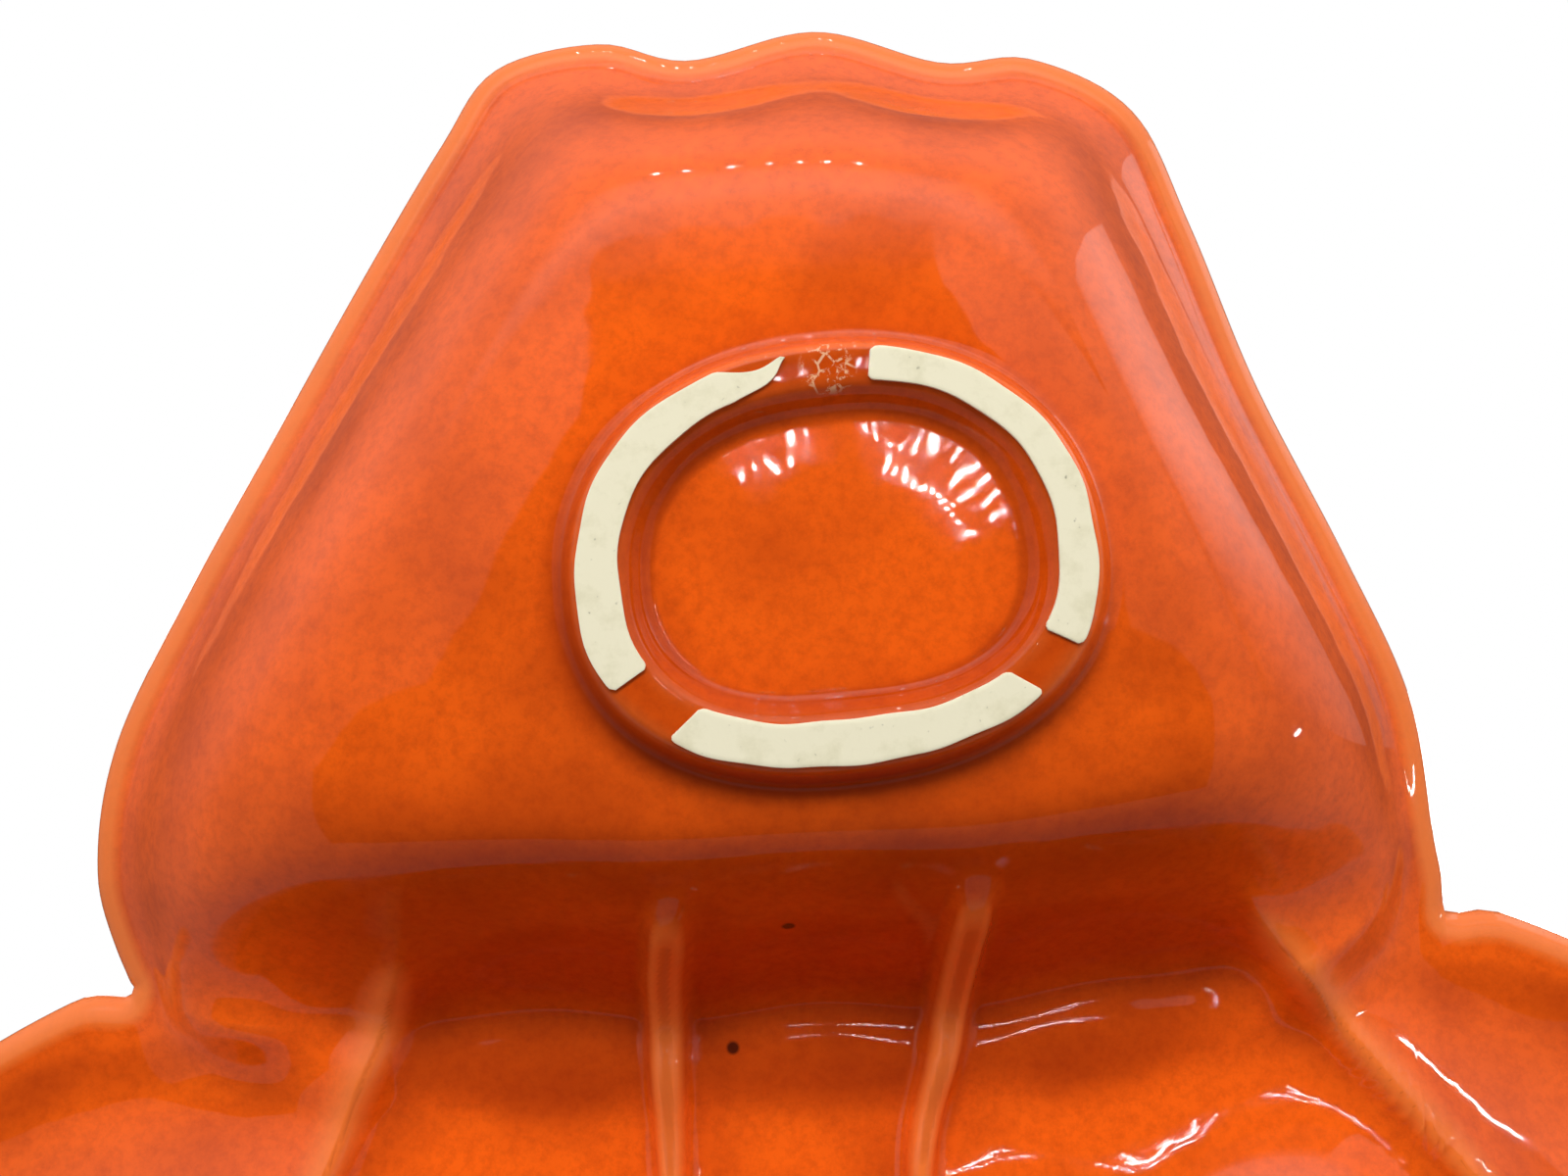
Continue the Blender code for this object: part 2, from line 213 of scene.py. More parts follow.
def filleted(stem, tray):
    """Round the two notches by averaging each rim with what lies beyond its ends."""
    both = [points_at(line, np.arange(0, along_path(line)[-1], RIM_STEP)) for line in (stem, tray)]
    ring = np.vstack(both)
    reach = np.arange(-FILLET_STEPS, FILLET_STEPS + 1)
    weights = np.exp(-0.5 * (reach * RIM_STEP / FILLET_SPREAD) ** 2)
    weights /= weights.sum()
    soft = sum(w * np.roll(ring, r, axis=0) for w, r in zip(weights, reach))
    blend = ease(notch_gap(ring) / FILLET_BLEND)[:, None]
    ring = soft * (1 - blend) + ring * blend
    ends = []
    for notch in NOTCHES:
        close = np.where(np.linalg.norm(ring - notch, axis=1) < NOTCH_SEARCH)[0]
        ends.append(close[np.argmin(np.abs(ring[close, 0]))])
    ring = np.roll(ring, -ends[0], axis=0)
    count = (ends[1] - ends[0]) % len(ring)
    return ring[: count + 1], np.vstack([ring[count:], ring[:1]])


def crowded(path, count, crowd):
    """Return points along a path, closer together near its two ends by the factor crowd."""
    stops = np.linspace(0, along_path(path)[-1], CROWD_STEPS)
    end = np.minimum(stops, stops[-1] - stops)
    density = np.cumsum(1 + (crowd - 1) * np.exp(-end / CROWD_REACH))
    return points_at(path, np.interp(np.linspace(density[0], density[-1], count), density, stops))


stem_rim, tray_rim = filleted(stem_line(), tray_line())
lengths = [round(along_path(rim)[-1] / MM) for rim in (stem_rim, tray_rim)]
print("rim lines:", lengths[0], "mm round the stem,", lengths[1], "mm round the body")

# %% [markdown]
# The moulded form is easiest to think of as a height for every point of the plan. A wall falls from
# the rim to the floor in an S, steep beside the divider and easier elsewhere. Distance from the rim
# is measured softly, with every stretch of rim counting a little, so that the wall turns its corners
# without a crease. The divider counts as one more stretch of rim, and less towards the notches,
# where the valley under it runs out. Between the ribs its line bows a little and its bank reaches
# further, so that the valley is a row of shallow bays.

# %% Divider line and wall heights
RIM_HEIGHT = 36 * MM
FLOOR_HEIGHT = 5.0 * MM
WALL = 5.0 * MM
WELL_RUN = 32 * MM
TIP_FROM = 50 * MM
TIP_CHANGE = 60 * MM
TRAY_RUN = 48 * MM
TRAY_LEAD = 6 * MM
TRAY_CHANGE = 20 * MM
DIVIDER_BOW = 15 * MM
DIVIDER_SQUARENESS = 3.5
DIVIDER_TILT = 0.08
DIVIDER_SCALLOP = 1.6 * MM
BAY_EDGES = np.array([-57, -21.6, 14.6, 48]) * MM
BAY_STRETCH = 0.11
WELL_BANK = 28 * MM
TRAY_BANK = 48 * MM
BANK_CHANGE = 12 * MM
SADDLE = 9 * MM
SADDLE_FROM = 52 * MM
SADDLE_TO = 66 * MM
WALL_START = 0.06
SIDE_CURVE = (0.24, 0.60)  # reach of each S-curve's handles at the rim and at the floor
TIP_CURVE = (0.30, 0.50)
SHOULDER_CURVE = (0.55, 0.30)
SHOULDER_REACH = 58 * MM
SHOULDER_RUN = 70 * MM
WELL_BANK_CURVE = (0.25, 0.35)
TRAY_BANK_CURVE = (0.80, 0.35)
FLOOR_DOME = 0.16
DOME_FROM = 8 * MM
WALL_NORM = 6
FALL_STEPS = 201
RIDGE_STEPS = 2001
RIDGE_POINTS = 270
RIDGE_CROWD = 3
STEM_OUTLINE_POINTS = 230
TRAY_OUTLINE_POINTS = 330
OUTLINE_CROWD = 2
LEAST = 1e-6  # keeps divisions clear of zero
LEAST_SQUARE = 1e-12


def bay_middle(x):
    """Return 1 in the middle of each bay between two ribs under the divider, and 0 at the ribs."""
    return np.sin(math.pi * np.interp(x, BAY_EDGES, np.arange(len(BAY_EDGES)))) ** 2


def ridge_line():
    """Return the line of the divider from the left notch to the right one."""
    share = np.linspace(-1, 1, RIDGE_STEPS)
    left, right = stem_rim[-1], stem_rim[0]
    line = left + (right - left) * (share[:, None] + 1) / 2
    bow = 1 - np.abs(share) ** DIVIDER_SQUARENESS
    line[:, 1] -= bow * (DIVIDER_BOW - DIVIDER_TILT * line[:, 0])
    line[:, 1] += DIVIDER_SCALLOP * bay_middle(line[:, 0])
    return crowded(line, RIDGE_POINTS, RIDGE_CROWD)


def fall_curve(shares, curve):
    """Return how far an S-shaped wall has fallen, 0 to 1, at shares of its run from the rim."""
    t = np.linspace(0, 1, FALL_STEPS)
    run = 3 * (1 - t) ** 2 * t * curve[0] + 3 * (1 - t) * t**2 * (1 - curve[1]) + t**3
    return np.interp(shares, run, 3 * t**2 - 2 * t**3)


def nearness(points, path, soften):
    """Return a smooth measure, per metre, that grows without limit towards a path."""
    middles = (path[1:] + path[:-1]) / 2
    lengths = np.linalg.norm(np.diff(path, axis=0), axis=1)
    straight = math.sqrt(math.pi) * math.gamma((WALL_NORM - 1) / 2) / math.gamma(WALL_NORM / 2)
    total = np.zeros(len(points))
    for middle, length, soft in zip(middles, lengths, np.broadcast_to(soften, len(middles))):
        square = ((points - middle) ** 2).sum(axis=1) + soft**2
        total += np.maximum(square, LEAST_SQUARE) ** (-WALL_NORM / 2) * (length / straight)
    return total ** (1 / (WALL_NORM - 1))


def distance_to(points, path):
    """Return the plain distance from each point to the nearest stretch of a path."""
    best = np.full(len(points), 1.0)
    for start, end in zip(path, path[1:]):
        line = end - start
        share = np.clip((points - start) @ line / max(line @ line, LEAST_SQUARE), 0, 1)
        best = np.minimum(best, np.linalg.norm(points - start - share[:, None] * line, axis=1))
    return best


def beyond_ridge(points):
    """Return how far points lie on the tray's side of the divider's line."""
    return np.interp(points[:, 0], ridge[::-1, 0], ridge[::-1, 1]) - points[:, 1]


ridge = ridge_line()
stem_outline = crowded(stem_rim, STEM_OUTLINE_POINTS, OUTLINE_CROWD)
tray_outline = crowded(tray_rim, TRAY_OUTLINE_POINTS, OUTLINE_CROWD)
outline = np.vstack([stem_outline, tray_outline[1:]])
ridge_middles = (ridge[1:, 0] + ridge[:-1, 0]) / 2
ridge_softness = SADDLE * ease((np.abs(ridge_middles) - SADDLE_FROM) / (SADDLE_TO - SADDLE_FROM))
print("divider line:", len(ridge), "points")

# %% [markdown]
# Smaller forms are added to the wall heights one by one: lobes with creases between them, ribs that
# cross the valley under the divider, the foot rings, and a rounded bead along the rim with a fine
# groove inside it. Keeping each as a small function makes it easy to leave the ribs, the rings and
# the groove out of the dish's upper side. Two more functions darken the glaze: partly where the melted
# glaze has gathered, and partly as painted shade in the valley, under the rim beside the notches and
# on the foot rings' walls, with a painted shadow leaning one way outside each ring.

# %% Lobes, ribs and rings
LOBE_HEIGHT = 5.0 * MM
LOBE_FROM = 14 * MM
LOBE_CHANGE = 30 * MM
LOBE_CLEAR = 20 * MM
SEAT_BLEND = 6 * MM
RING_WALL = 4.95 * MM
RING_SKEW = np.array([-0.3, 0.5]) * MM
RING_POWER = 2.25
RING_TOP = 0.4 * MM
RING_OUTER_SLOPE = np.array([-0.3, 2.8]) * MM  # start and length of the slope outside the ring
RING_INNER_SLOPE = np.array([-0.5, 3.6]) * MM  # and of the slope into the recess
RECESS_HEIGHT = 3.6 * MM
RECESS_DOME = 0.5 * MM
WELL_RING = {
    "size": np.array([57.6, 46.4]) * MM,
    "place": np.array([-7.85, 46.2]) * MM,
    "turn": math.radians(-3.6),
    "taper": 0.05,
}
TRAY_RING = {
    "size": np.array([120, 74]) * MM,
    "place": np.array([0, -98]) * MM,
    "turn": 0.0,
    "taper": 0.0,
}
# Darkening outside each foot ring: pooled glaze all round, and a painted shadow of the ring leaning away
# from the light
POOL_AND_SHADOW_PLACE = 1.8 * MM
POOL_AND_SHADOW_WIDTH = 2.6 * MM
SHADOW_WAY = np.array([0.5, -0.87])
POOL_EVEN = 0.45  # share of the darkening outside a ring that lies all round it as pooled glaze; the rest is a painted shadow leaning one way
CREST_POOL = 0.7
# Darkening on each ring's inner wall: partly pooled glaze, partly painted shade
INNER_POOL_AND_SHADE = 0.7
INNER_SHADE_LESS = 0.4  # lost on the side away from the painted shadow, where the inner wall is already in shade
INNER_SHADE_RISE = np.array([-1, 1]) * MM  # start and length, for this and the next ones
INNER_SHADE_FADE = np.array([2.8, 1.6]) * MM
# Painted shade on the bank and in the valley under the divider, partly a deeper glaze
VALLEY_SHADE = 0.72
VALLEY_RISE = np.array([-42, 20]) * MM
VALLEY_FADE = np.array([4, 8]) * MM
VALLEY_SIDE_FADE = np.array([44, 24]) * MM
BAY_SHADE = 5 * MM
# Painted shade under the body's rim beside the notches
SHOULDER_SHADE = 0.62
SHOULDER_SHADE_REACH = 62 * MM
SHOULDER_SHADE_RISE = np.array([4, 3]) * MM
SHOULDER_SHADE_FADE = np.array([8, 10]) * MM
SHOULDER_BODY_FADE = np.array([-12, 8]) * MM
BEAD_WIDTH = 3.4 * MM
BEAD_HALF_HEIGHT = 2.5 * MM
GROOVE_DEPTH = 0.4 * MM
GROOVE_PLACE = 4.2 * MM
GROOVE_WIDTH = 0.8 * MM
GROOVE_RISE = 30 * MM
RIM_CLEAR = 4 * MM
INNER_RIBS = (  # places along each rib, from the floor of the well to the tray
    ((13.0, 10.0), (14.6, 2.0), (16.3, -10.0), (16.3, -46.0)),
    ((-22.6, 10.0), (-21.6, 0.0), (-19.7, -12.2), (-15.0, -28.0), (-14.0, -46.0)),
)
OUTER_RIBS = (
    ((45.0, 8.0), (48.1, 1.8), (53.0, -10.0), (62.0, -31.0), (68.0, -46.0)),
    ((-55.0, 8.0), (-57.2, 2.6), (-66.0, -10.0), (-81.3, -31.5), (-90.0, -46.0)),
)
RIB_STEPS = 20
RIB_HEIGHT = 4.5 * MM
RIB_FLATNESS = 4  # of an inner rib's crest
INNER_RIB = {"width": 2.5 * MM, "rise": np.array([-46, 20]) * MM, "fade": np.array([2, 9]) * MM}
OUTER_RIB = {"width": 2.6 * MM, "rise": np.array([-46, 14]) * MM, "fade": np.array([-4, 12]) * MM}
RIB_NARROWING = 0.35
RIB_NARROW_RISE = np.array([10, 30]) * MM
RIB_CREST = 0.6  # rounding of an outer rib's crest, as a share of its width
RIB_FALL = (0.45, 1.3)  # how fast an outer rib falls away on its outer and its inner side


def rib_height(points):
    """Return how far the ribs stand out from the valley under the divider."""
    x, y = points.T
    total = np.zeros(len(points))
    for ribs, rib, sharp in ((INNER_RIBS, INNER_RIB, False), (OUTER_RIBS, OUTER_RIB, True)):
        for places in ribs:
            line = curve_through(np.array(places) * MM, RIB_STEPS)[::-1]
            narrow = RIB_NARROWING * ease((-y - RIB_NARROW_RISE[0]) / RIB_NARROW_RISE[1])
            side = (x - np.interp(y, line[:, 1], line[:, 0])) / (rib["width"] * (1 - narrow))
            if sharp:
                outward = side * np.sign(line[0, 0])
                away = np.sqrt(side**2 + RIB_CREST**2) - RIB_CREST
                profile = np.exp(-away * np.where(outward > 0, *RIB_FALL))
            else:
                profile = np.exp(-(np.abs(side) ** RIB_FLATNESS))
            total = np.maximum(total, RIB_HEIGHT * band(y, rib["rise"], rib["fade"]) * profile)
    return total


def oval_share(turned, ring):
    """Return how far points lie from a ring's middle as a share of the way to its tapered oval."""
    across, along = np.abs(turned / (ring["size"] / 2)).T
    plain = (across**RING_POWER + along**RING_POWER) ** (1 / RING_POWER)
    lean = turned[:, 1] / (ring["size"][1] / 2) / np.maximum(plain, LEAST)
    across = across / (1 - ring["taper"] * lean)
    return (across**RING_POWER + along**RING_POWER) ** (1 / RING_POWER)


def turning(angle):
    """Return the matrix that turns plan points by an angle."""
    cosine, sine = math.cos(angle), math.sin(angle)
    return np.array([[cosine, sine], [-sine, cosine]])


def ring_reach(points, ring):
    """Return how far points lie outside a foot ring's oval, along the line to its middle."""
    offset = points - ring["place"]
    share = oval_share(offset @ turning(-ring["turn"]), ring)
    distance = np.linalg.norm(offset, axis=1)
    return distance - distance / np.maximum(share, LEAST)


def ring_lean(points, ring, way):
    """Return how far points lie one way from a ring's middle, as a share of their distance from it."""
    offset = points - ring["place"]
    return offset @ way / np.maximum(np.linalg.norm(offset, axis=1), LEAST)


def ring_height(points, ring):
    """Return how far the foot ring and the dome inside it stand down from the floor."""
    outside = ring_reach(points, ring)
    outer_wall = 1 - ease((outside - RING_OUTER_SLOPE[0]) / RING_OUTER_SLOPE[1])
    inside = -outside - RING_WALL + ring_lean(points, ring, RING_SKEW)
    inner_wall = 1 - ease((inside - RING_INNER_SLOPE[0]) / RING_INNER_SLOPE[1])
    dome = RECESS_DOME * ease(inside / (min(ring["size"]) / 2 - RING_WALL))
    recess = (FLOOR_HEIGHT - RECESS_HEIGHT) * (1 - inner_wall) + dome
    crest = (FLOOR_HEIGHT - RING_TOP) * np.minimum(outer_wall, inner_wall)
    return crest + np.where(inside > -RING_WALL / 2, recess, 0)


def pool_and_painted_shade(points, ring):
    """Return how far the glaze is darkened: pooled glaze on the ring, painted shade in the valley and on
    the ring's walls, and a painted shadow.
    """
    outside = ring_reach(points, ring)
    lean = ring_lean(points, ring, SHADOW_WAY)
    # Outside the ring: pooled glaze, plus a painted shadow of the ring on the side away from the light
    outer_corner = np.exp(-(((outside - POOL_AND_SHADOW_PLACE) / POOL_AND_SHADOW_WIDTH) ** 2))
    outer_corner = outer_corner * ease(POOL_EVEN + (1 - POOL_EVEN) * lean)
    inside = -outside - RING_WALL
    # Inside the ring: pooled glaze and painted shade on the inner wall
    inner_corner = INNER_POOL_AND_SHADE * band(inside, INNER_SHADE_RISE, INNER_SHADE_FADE)
    inner_corner = inner_corner * (1 - INNER_SHADE_LESS * ease(-lean))
    crest = CREST_POOL * (outside < 0) * (inside < 0)
    # Painted shade in the valley under the divider, reaching further into each bay
    fade = (VALLEY_FADE[0] + BAY_SHADE * bay_middle(points[:, 0]), VALLEY_FADE[1])
    valley = VALLEY_SHADE * band(beyond_ridge(points), VALLEY_RISE, fade)
    valley = valley * (1 - ease((np.abs(points[:, 0]) - VALLEY_SIDE_FADE[0]) / VALLEY_SIDE_FADE[1]))
    return np.max([outer_corner, inner_corner, crest, valley], axis=0)


def painted_shoulder_shade(points, distance):
    """Return a painted shade under the rim of the body beside the notches."""
    along_rim = band(distance, SHOULDER_SHADE_RISE, SHOULDER_SHADE_FADE)
    on_body = 1 - ease((points[:, 1] - SHOULDER_BODY_FADE[0]) / SHOULDER_BODY_FADE[1])
    near_notch = np.exp(-((notch_gap(points) / SHOULDER_SHADE_REACH) ** 2))
    return SHOULDER_SHADE * along_rim * on_body * near_notch


def bead_round(distance):
    """Return how far the rim's rounded edge draws in from the flat of the rim."""
    share = np.clip(1 - distance / BEAD_WIDTH, 0, 1)
    return BEAD_HALF_HEIGHT * (1 - np.sqrt(1 - share**2))


def bowl_height(points, sharp):
    """Return the plain height of the underside, with sharp or soft creases between the lobes."""
    beyond = beyond_ridge(points)
    in_tray = ease((beyond + TRAY_LEAD) / TRAY_CHANGE)
    tray_side = ease(beyond / BANK_CHANGE)
    tip = ease((points[:, 1] - TIP_FROM) / TIP_CHANGE)
    shoulder = in_tray * np.exp(-((notch_gap(points) / SHOULDER_REACH) ** 2))
    run = WELL_RUN + (TRAY_RUN + (SHOULDER_RUN - TRAY_RUN) * shoulder - WELL_RUN) * in_tray
    near_rim = (nearness(points, outline, 0.0) * run) ** (WALL_NORM - 1)
    tray_bank = TRAY_BANK * (1 + BAY_STRETCH * bay_middle(points[:, 0]))
    bank = WELL_BANK + (tray_bank - WELL_BANK) * tray_side
    near_ridge = (nearness(points, ridge, ridge_softness) * bank) ** (WALL_NORM - 1)
    ridge_part = near_ridge / (near_rim + near_ridge)
    share = (near_rim + near_ridge) ** (-1 / (WALL_NORM - 1))
    share = share - WALL_START * (1 - share) * (1 - ridge_part)
    at_side = fall_curve(share, SIDE_CURVE)
    at_side = at_side + (fall_curve(share, TIP_CURVE) - at_side) * tip
    at_side = at_side + (fall_curve(share, SHOULDER_CURVE) - at_side) * shoulder
    at_well_bank = fall_curve(share, WELL_BANK_CURVE)
    at_ridge = at_well_bank + (fall_curve(share, TRAY_BANK_CURVE) - at_well_bank) * tray_side
    fall = at_side + (at_ridge - at_side) * ridge_part
    away = np.maximum(np.minimum(ring_reach(points, WELL_RING), ring_reach(points, TRAY_RING)), 0)
    dome = FLOOR_DOME * (np.sqrt(away**2 + DOME_FROM**2) - DOME_FROM)
    lobed = ease((beyond - LOBE_FROM) / LOBE_CHANGE) * ease(away / LOBE_CLEAR)
    lobe = LOBE_HEIGHT * lobed * (1 - lobe_crown(points, sharp))
    rise = (RIM_HEIGHT - FLOOR_HEIGHT) * (1 - fall) + (lobe + dome) * fall
    return FLOOR_HEIGHT + rise * ease(away / SEAT_BLEND)


print("heights run from", RING_TOP / MM, "mm under the pads to", RIM_HEIGHT / MM, "mm under the rim")

# %% [markdown]
# To turn the heights into a skin, a flat grid is wrapped: its columns go once round the edge of a bowl
# and its rows run from that edge to the middle of the foot ring. Rows laid this way follow the rim and
# the ring, where a square grid would cut across them in steps. Each bowl gets one sheet below and one
# above, a wall's thickness apart.

# %% Wrapped sheets
EDGE_STEPS = np.array([0, 0.12, 0.35, 0.75, 1.3, 1.9, 2.6, 3.3, 3.9, 4.6, 5.5]) * MM
ROWS_TO_RING = 36
ROWS_OVER_RING = 18
ROWS_INSIDE = 4
TOP_ROWS = 16
ROW_CROWDING = 1.35
SKIRT = 3.5 * MM
RECESS_INSET = 4 * MM
HUB_SHARE = 0.92
SLOPE_STEP = 0.2 * MM
STEM_POINTS = 200
STEM_CROWD = 3
BODY_POINTS = 210
BODY_CROWD = 4
WELL_TURN = np.radians([-145, -395])  # where each rim's two ends are led to, round its ring
BODY_TURN = np.radians([20, -200])


def wrapped_sheet(name, points, notes):
    """Add a grid, lay its rows and columns on an array of points, and keep notes for its finish."""
    rows, columns = points.shape[0] - 1, points.shape[1] - 1
    bpy.ops.object.select_all(action="DESELECT")
    bpy.ops.mesh.primitive_grid_add(x_subdivisions=columns, y_subdivisions=rows, size=1)
    sheet = bpy.context.object
    sheet.name = name
    sheet.data.vertices.foreach_set("co", points.astype(np.float32).ravel())
    for note, amounts in notes.items():
        kept = sheet.data.attributes.new(note, "FLOAT", "POINT")
        kept.data.foreach_set("value", amounts.astype(np.float32).ravel())
    sheet.data.update()
    return sheet


def ring_point(ring, angle, inset):
    """Return plan points at angles round a ring, at distances in from its outer edge."""
    way = np.column_stack([np.cos(angle), np.sin(angle)]) * ring["size"] / 2
    way /= np.linalg.norm(way, axis=1)[:, None]
    turned = way * (1 / oval_share(way, ring) - inset)[:, None]
    return ring["place"] + turned @ turning(ring["turn"])


def ring_angles(edge, rim_count, first, last):
    """Return the angle round the ring that each point of a bowl's edge is led to."""
    along = along_path(edge[:rim_count])
    rim = first + (last - first) * along / along[-1]
    inner = edge[rim_count - 1 :]
    share = (inner[:, 0] - inner[0, 0]) / (edge[0, 0] - inner[0, 0])
    turn = math.copysign(2 * math.pi, last - first)
    start, end = math.cos(last), math.cos(first + turn)
    crossing = np.arccos(np.clip(start + (end - start) * share, -1, 1))
    middle = (last + first + turn) / 2
    upper = math.sin(middle) > 0
    crossing = crossing if upper else -crossing
    return np.concatenate([rim, crossing[1:]])


def plan_rows(edge, angles, ring, rows_to_ring, with_ring):
    """Return plan points on lines from a bowl's edge to its ring and on to the ring's middle."""
    skirt = ring_point(ring, angles, -SKIRT)
    inner = ring_point(ring, angles, RING_WALL + RECESS_INSET)
    line = skirt - edge
    line /= np.linalg.norm(line, axis=1)[:, None]
    rows = [edge + line * step for step in EDGE_STEPS]
    start = rows[-1]
    for share in np.linspace(0, 1, rows_to_ring + 1)[1:]:
        rows.append(start + (skirt - start) * share**ROW_CROWDING)
    if with_ring:
        for share in np.linspace(0, 1, ROWS_OVER_RING + 1)[1:]:
            rows.append(skirt * (1 - share) + inner * share)
    last = rows[-1]
    for share in np.linspace(0, HUB_SHARE, ROWS_INSIDE + 1)[1:]:
        rows.append(last * (1 - share) + ring["place"] * share)
    return np.array(rows)


def closed(grid, hub):
    """Add a middle value as a last row and repeat the first column as the last."""
    grid = np.concatenate([grid, np.broadcast_to(hub, (1,) + grid.shape[1:])])
    return np.concatenate([grid, grid[:, :1]], axis=1)


def bowl_sheet(name, edge, rim_count, angles, ring, upper):
    """Make the underside of one bowl, or its upper side a wall's thickness above."""
    plan = plan_rows(edge, angles, ring, TOP_ROWS if upper else ROWS_TO_RING, not upper)
    flat = plan.reshape(-1, 2)
    height = bowl_height(flat, not upper)
    height[:rim_count] = RIM_HEIGHT
    distance = distance_to(flat, outline)
    distance[:rim_count] = 0
    notes = {"rim_distance": distance / MM, "pool_and_shade": 0 * distance, "rib": 0 * distance}
    surface = np.column_stack([flat, height])
    hub = np.append(ring["place"], FLOOR_HEIGHT)
    if upper:
        ways = np.eye(2) * SLOPE_STEP
        falls = [bowl_height(flat - way, False) - bowl_height(flat + way, False) for way in ways]
        normal = np.column_stack([*falls, np.full(len(flat), 2 * SLOPE_STEP)])
        normal /= np.linalg.norm(normal, axis=1)[:, None]
        steady = ease(distance / RIM_CLEAR)[:, None]
        normal = normal * steady + np.array([0, 0, 1]) * (1 - steady)
        surface += WALL * normal
        surface[:, 2] -= bead_round(distance)
        hub[2] += WALL
    else:
        groove = GROOVE_DEPTH * np.exp(-(((distance - GROOVE_PLACE) / GROOVE_WIDTH) ** 2))
        groove = groove * ease(flat[:, 1] / GROOVE_RISE)
        ribs = rib_height(flat) * ease(distance / RIM_CLEAR)
        surface[:, 2] += bead_round(distance) + groove - ribs - ring_height(flat, ring)
        hub[2] = RECESS_HEIGHT - RECESS_DOME
        # This note mixes pooled glaze with painted shade and a painted ring shadow
        notes["pool_and_shade"] = np.maximum(pool_and_painted_shade(flat, ring), painted_shoulder_shade(flat, distance))
        notes["rib"] = ribs / RIB_HEIGHT
    surface[:, 1] += NOTCH_Y
    hub[1] += NOTCH_Y
    shape = plan.shape[:2]
    grid = closed(surface.reshape(*shape, 3), hub)
    notes = {note: closed(amounts.reshape(shape), amounts[-1]) for note, amounts in notes.items()}
    return wrapped_sheet(name, grid, notes)


stem_edge = crowded(stem_rim, STEM_POINTS, STEM_CROWD)
tray_edge = crowded(tray_rim, BODY_POINTS, BODY_CROWD)
well_edge = np.vstack([stem_edge[:-1], ridge[:-1]])
body_edge = np.vstack([tray_edge[:-1], ridge[::-1][:-1]])
well = (well_edge, STEM_POINTS, ring_angles(well_edge, STEM_POINTS, *WELL_TURN), WELL_RING)
body = (body_edge, BODY_POINTS, ring_angles(body_edge, BODY_POINTS, *BODY_TURN), TRAY_RING)
sheets = []
for side, upper in (("under", False), ("upper", True)):
    sheets.append(bowl_sheet("well_" + side, *well, upper))
    sheets.append(bowl_sheet("tray_" + side, *body, upper))
print("sheets:", [(sheet.name, len(sheet.data.polygons)) for sheet in sheets])

# %% [markdown]
# The real dish is one casting, so the four sheets become one piece. They share their edge points, and
# merging by distance sews them into a closed body. The count of open edges shows whether a seam is left.

# %% Sew the sheets together
SEW_GAP = 2e-6
bpy.ops.object.select_all(action="DESELECT")
for sheet in sheets:
    sheet.select_set(True)
bpy.context.view_layer.objects.active = sheets[0]
bpy.ops.object.join()
dish = bpy.context.object
dish.name = "glazed_dish"
bpy.ops.object.mode_set(mode="EDIT")
bpy.ops.mesh.select_all(action="SELECT")
bpy.ops.mesh.remove_doubles(threshold=SEW_GAP)
bpy.ops.mesh.normals_make_consistent(inside=False)
bpy.ops.object.mode_set(mode="OBJECT")
bpy.ops.object.shade_smooth()
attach(dish, "root")
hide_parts("dip_well", "chip_tray", "dip_foot_ring", "tray_foot_ring")
check = bmesh.new()
check.from_mesh(dish.data)
open_edges = sum(not edge.is_manifold for edge in check.edges)
print("dish skin:", len(check.faces), "faces,", open_edges, "open edges")
print("clay and glaze:", round(check.calc_volume() * 1e6), "ml")
check.free()

# %% [markdown]
# A glazed pot would stick to the kiln shelf, so the foot is wiped bare before firing. What shows there
# is the pale clay body in three strips round each ring, with bridges of glaze left between them. Each
# strip is a grid bent along the ring, given a thickness and a small bevel; the first one of the dip
# well thins to a tail where the wipe ran out.

# %% Bare foot pads
PAD_ARCS = ((-29.5, 84.0), (104.0, 212.5), (227.0, 312.5))  # degrees round each ring
PAD_EDGE = 0.25 * MM
PAD_WAVER = 0.16 * MM
OUTER_WAVES = (9, 23)  # radians of each wave along a pad's outer and inner edge
INNER_WAVES = (7, 19)
PAD_CORNER = 0.5 * MM
PAD_SINK = 0.1 * MM
PAD_BEVEL = 0.2 * MM
BEVEL_ANGLE = math.radians(50)
SMOOTH_ANGLE = math.radians(40)
PAD_END_LEAN = 0.012
PAD_COLUMNS = 110
PAD_ROWS = 8
TAIL_FROM = 0.86
TAIL_BOW = 1.3 * MM
TAIL_NARROWING = 1.2 * MM
TAIL_POINT = 2.0 * MM
TAIL_SHARPNESS = 6
TAIL_LEAST = 0.3 * MM


def uneven(share, waves, shifts):
    """Return an uneven wave along an edge, made of two plain ones."""
    return np.sin(waves[0] * share + shifts[0]) * np.sin(waves[1] * share + shifts[1])


